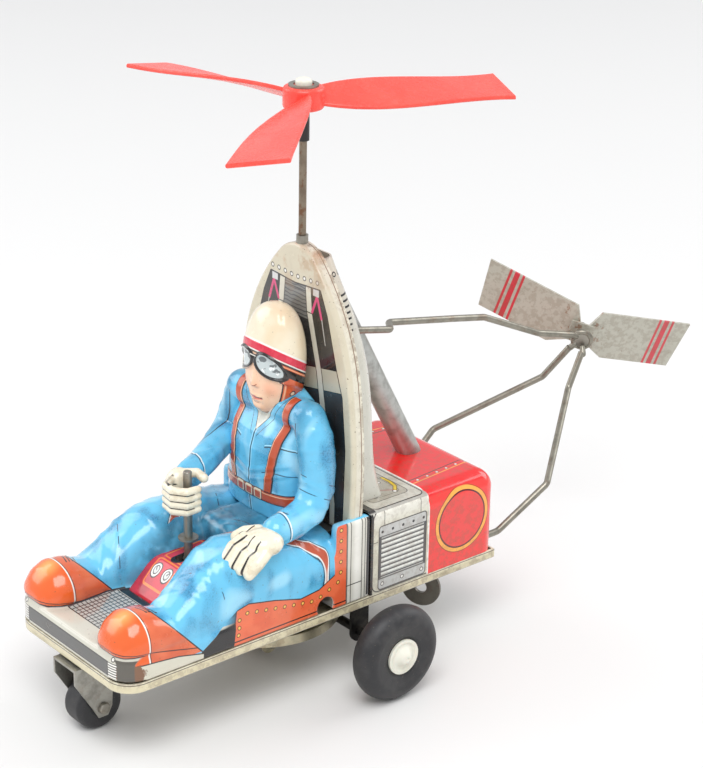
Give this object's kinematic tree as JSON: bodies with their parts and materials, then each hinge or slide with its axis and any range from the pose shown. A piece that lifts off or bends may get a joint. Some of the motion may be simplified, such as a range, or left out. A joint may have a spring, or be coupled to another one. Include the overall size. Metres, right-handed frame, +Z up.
{
  "type": "toy helicopter",
  "caption": "Clockwork tin toy autogyro: seated pilot, three-blade rotor on a mast, tail propeller on wire booms, road wheels, nose caster and underside key.",
  "frame": {"origin": "the point on the ground straight below the rotor mast", "axes": "+Z up along the mast, -Y towards the nose, +X towards the pilot's left hand"},
  "size_m": [0.1187, 0.2577, 0.1929],
  "materials": {
    "cream_tin": "lithographed cream enamel on tinplate, worn",
    "litho_tin": "lithographed tinplate in grey, cream, orange and black",
    "red_tin": "glossy lithographed red tinplate",
    "suit_tin": "lithographed sky-blue tinplate with orange and cream detail",
    "grey_tin": "plain satin tinplate",
    "steel": "plain drawn steel, dulled",
    "spring_steel": "blued spring steel",
    "black_steel": "black-finished steel",
    "brass": "stamped brass",
    "tyre": "black moulded rubber with fine ribs",
    "black_plastic": "black sleeve",
    "red_plastic": "moulded coral red plastic",
    "cream_plastic": "moulded off-white plastic"
  },
  "bodies": {
    "chassis": {"base_tray": "cream_tin", "body_pressing": "litho_tin", "front_cover": "litho_tin", "rear_cover": "red_tin", "axle_brackets": "black_steel", "pylon_front": "litho_tin", "pylon_rear": "cream_tin", "mast_bushing": "steel", "strut_tube": "grey_tin", "top_boom_wire": "steel", "left_boom_wire": "steel", "right_boom_wire": "steel", "tail_pin": "steel", "pilot_front": "suit_tin", "pilot_back": "suit_tin", "left_arm": "suit_tin", "pilot_legs": "suit_tin", "console_cover": "red_tin", "stick_pivot_pin": "steel", "lower_motor_plate": "grey_tin", "upper_motor_plate": "grey_tin", "motor_pillars": "steel", "motor_feet": "steel", "mainspring": "spring_steel"},
    "rotor": {"mast": "steel", "mast_pinion": "brass", "mast_sleeve": "black_plastic", "rotor": "red_plastic", "rotor_eyelet": "steel", "rotor_cap": "cream_plastic"},
    "idler": {"idler_shaft": "steel", "idler_pinion": "steel", "idler_wheel": "brass"},
    "great_wheel": {"great_gear": "brass"},
    "key": {"key_arbor": "steel", "winding_key": "grey_tin"},
    "turret_drive": {"turret_shaft": "steel", "turret_gear": "brass", "turret_pinion": "steel"},
    "turret": {"turret": "cream_tin", "turret_washer": "steel"},
    "drive_wheel": {"drive_axle": "steel", "crown_gear": "brass", "drive_wheel": "tyre"},
    "rear_wheelset": {"rear_axle": "black_steel", "left_tyre": "tyre", "right_tyre": "tyre", "left_hub_cap": "cream_plastic", "right_hub_cap": "cream_plastic"},
    "caster": {"caster_fork": "grey_tin", "king_pin": "steel"},
    "front_wheel": {"front_wheel": "tyre", "front_axle": "steel"},
    "tail_propeller": {"tail_propeller": "cream_tin"},
    "control_stick": {"control_stick": "steel", "stick_washer": "steel"},
    "right_arm": {"right_arm": "suit_tin"}
  },
  "joints": [
    {"name": "rotor_spin", "type": "hinge", "parent": "chassis", "child": "rotor", "pos_m": [0, 0, 0.187], "axis": [0, 0, 1], "continuous": true},
    {"name": "idler_spin", "type": "hinge", "parent": "chassis", "child": "idler", "pos_m": [0.00276, 0.019, 0.04], "axis": [0, 0, 1], "continuous": true},
    {"name": "great_wheel_spin", "type": "hinge", "parent": "chassis", "child": "great_wheel", "pos_m": [0, 0.038, 0.03], "axis": [0, 0, 1], "continuous": true},
    {"name": "turret_drive_spin", "type": "hinge", "parent": "chassis", "child": "turret_drive", "pos_m": [0, -0.016, 0.04], "axis": [0, 0, 1], "continuous": true},
    {"name": "key_turn", "type": "hinge", "parent": "chassis", "child": "key", "pos_m": [0, 0.038, 0.02], "axis": [0, 0, 1], "continuous": true},
    {"name": "turret_swivel", "type": "hinge", "parent": "chassis", "child": "turret", "pos_m": [0, -0.016, 0.022], "axis": [0, 0, 1], "continuous": true},
    {"name": "drive_wheel_spin", "type": "hinge", "parent": "turret", "child": "drive_wheel", "pos_m": [0, -0.016, 0.007], "axis": [1, 0, 0], "continuous": true},
    {"name": "rear_wheels_spin", "type": "hinge", "parent": "chassis", "child": "rear_wheelset", "pos_m": [0, 0.0025, 0.016], "axis": [1, 0, 0], "continuous": true},
    {"name": "caster_swivel", "type": "hinge", "parent": "chassis", "child": "caster", "pos_m": [0, -0.0855, 0.022], "axis": [0, 0, 1], "continuous": true},
    {"name": "front_wheel_spin", "type": "hinge", "parent": "caster", "child": "front_wheel", "pos_m": [0, -0.0816, 0.0081], "axis": [1, 0, 0], "continuous": true},
    {"name": "tail_propeller_spin", "type": "hinge", "parent": "chassis", "child": "tail_propeller", "pos_m": [0, 0.128, 0.0808], "axis": [-0.6974, 0.6974, 0.165], "continuous": true},
    {"name": "stick_rock", "type": "hinge", "parent": "chassis", "child": "control_stick", "pos_m": [0, -0.0446, 0.045], "axis": [1, 0, 0], "range_deg": [-4, 4]},
    {"name": "right_arm_swing", "type": "hinge", "parent": "chassis", "child": "right_arm", "pos_m": [-0.0222, -0.0096, 0.0904], "axis": [1, 0, 0], "range_deg": [-8, 8]}
  ],
  "couplings": [
    {"joint": "idler_spin", "follows": "rotor_spin", "ratio": -0.33333},
    {"joint": "great_wheel_spin", "follows": "rotor_spin", "ratio": 0.066667},
    {"joint": "turret_drive_spin", "follows": "rotor_spin", "ratio": -0.42857},
    {"joint": "right_arm_swing", "follows": "stick_rock", "ratio": -0.9402}
  ]
}
